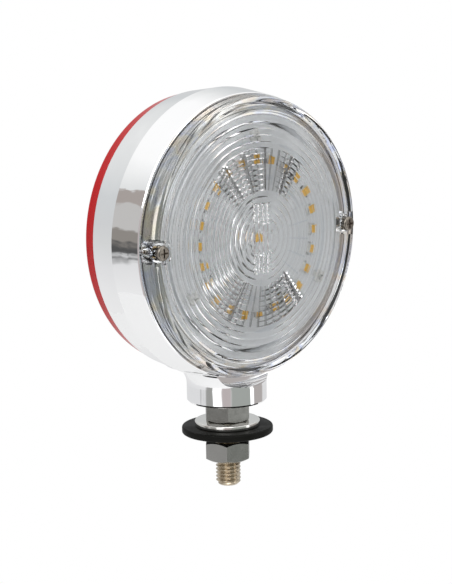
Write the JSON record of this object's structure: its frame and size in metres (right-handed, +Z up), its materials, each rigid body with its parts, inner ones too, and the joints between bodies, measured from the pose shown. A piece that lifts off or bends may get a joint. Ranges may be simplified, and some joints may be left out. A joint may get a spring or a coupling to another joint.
{
  "type": "double-face pedestal lamp",
  "caption": "Round chrome two-sided LED lamp with a clear lens and a red lens, on a short pedestal with a threaded stud, nuts and washers.",
  "frame": {"origin": "on the stud's axis, on the underside of the rubber washer, where the lamp sits on its bracket", "axes": "+Z up along the stud, -Y out of the clear front lens, +Y out of the red rear lens"},
  "size_m": [0.1142, 0.0468, 0.1588],
  "materials": {
    "chrome": "mirror-bright plated die casting",
    "white_plastic": "matt moulded",
    "zinc_steel": "bright zinc plated",
    "clear_lens": "clear moulded polycarbonate with prisms",
    "red_lens": "red moulded polycarbonate with prisms",
    "black_rubber": "satin black",
    "reflector": "vacuum metallised",
    "white_board": "white solder mask",
    "amber_phosphor": "yellow phosphor in a white package",
    "red_led": "clear resin in a white package",
    "black_chip": "matt epoxy",
    "brass": "turned",
    "green_plastic": "moulded",
    "lead_jacket": "extruded insulation",
    "zinc_stud": "zinc plated, rolled thread",
    "nut_steel": "zinc plated, satin",
    "washer_steel": "bright plated"
  },
  "bodies": {
    "washer_stack": {"rubber_washer": "black_rubber", "steel_washer": "washer_steel"},
    "stud_mount": {"pivot_stud": "zinc_stud"},
    "lock_nut": {"lock_nut": "nut_steel"},
    "mounting_nut": {"mounting_nut": "nut_steel"},
    "lamp_head": {"housing": "chrome", "divider_plate": "white_plastic", "divider_screws": "zinc_steel", "front_lens": "clear_lens", "rear_lens": "red_lens", "front_gasket": "black_rubber", "rear_gasket": "black_rubber", "front_reflector": "reflector", "rear_reflector": "reflector", "front_board": "white_board", "rear_board": "white_board", "front_ring_leds": "amber_phosphor", "rear_ring_leds": "red_led", "front_centre_led": "amber_phosphor", "rear_centre_led": "red_led", "front_resistors": "black_chip", "rear_resistors": "black_chip", "front_driver": "black_chip", "rear_driver": "black_chip", "board_spacers": "brass", "front_board_screws": "white_plastic", "rear_board_screws": "white_plastic", "front_lens_screws": "zinc_steel", "rear_lens_screws": "zinc_steel", "screw_inserts": "brass", "terminal_block": "green_plastic", "terminal_screws": "zinc_steel", "internal_leads": "lead_jacket", "friction_washer": "white_plastic", "stud_seal": "black_rubber"}
  },
  "joints": [
    {"name": "nut_turn", "type": "hinge", "parent": "washer_stack", "child": "mounting_nut", "pos_m": [0, 0, -0.007], "axis": [0, 0, -1], "range_deg": [0, 1890]},
    {"name": "stud_lift", "type": "slide", "parent": "washer_stack", "child": "stud_mount", "axis": [0, 0, 1], "range_m": [0, 0.0078]},
    {"name": "lock_nut_turn", "type": "hinge", "parent": "stud_mount", "child": "lock_nut", "pos_m": [0, 0, 0.009], "axis": [0, 0, -1], "range_deg": [0, 90]},
    {"name": "head_swivel", "type": "hinge", "parent": "stud_mount", "child": "lamp_head", "pos_m": [0, 0, 0.016], "axis": [0, 0, 1], "range_deg": [-180, 180]}
  ],
  "couplings": [
    {"joint": "nut_turn", "follows": "stud_lift", "rad_per_m": 4188.8}
  ]
}
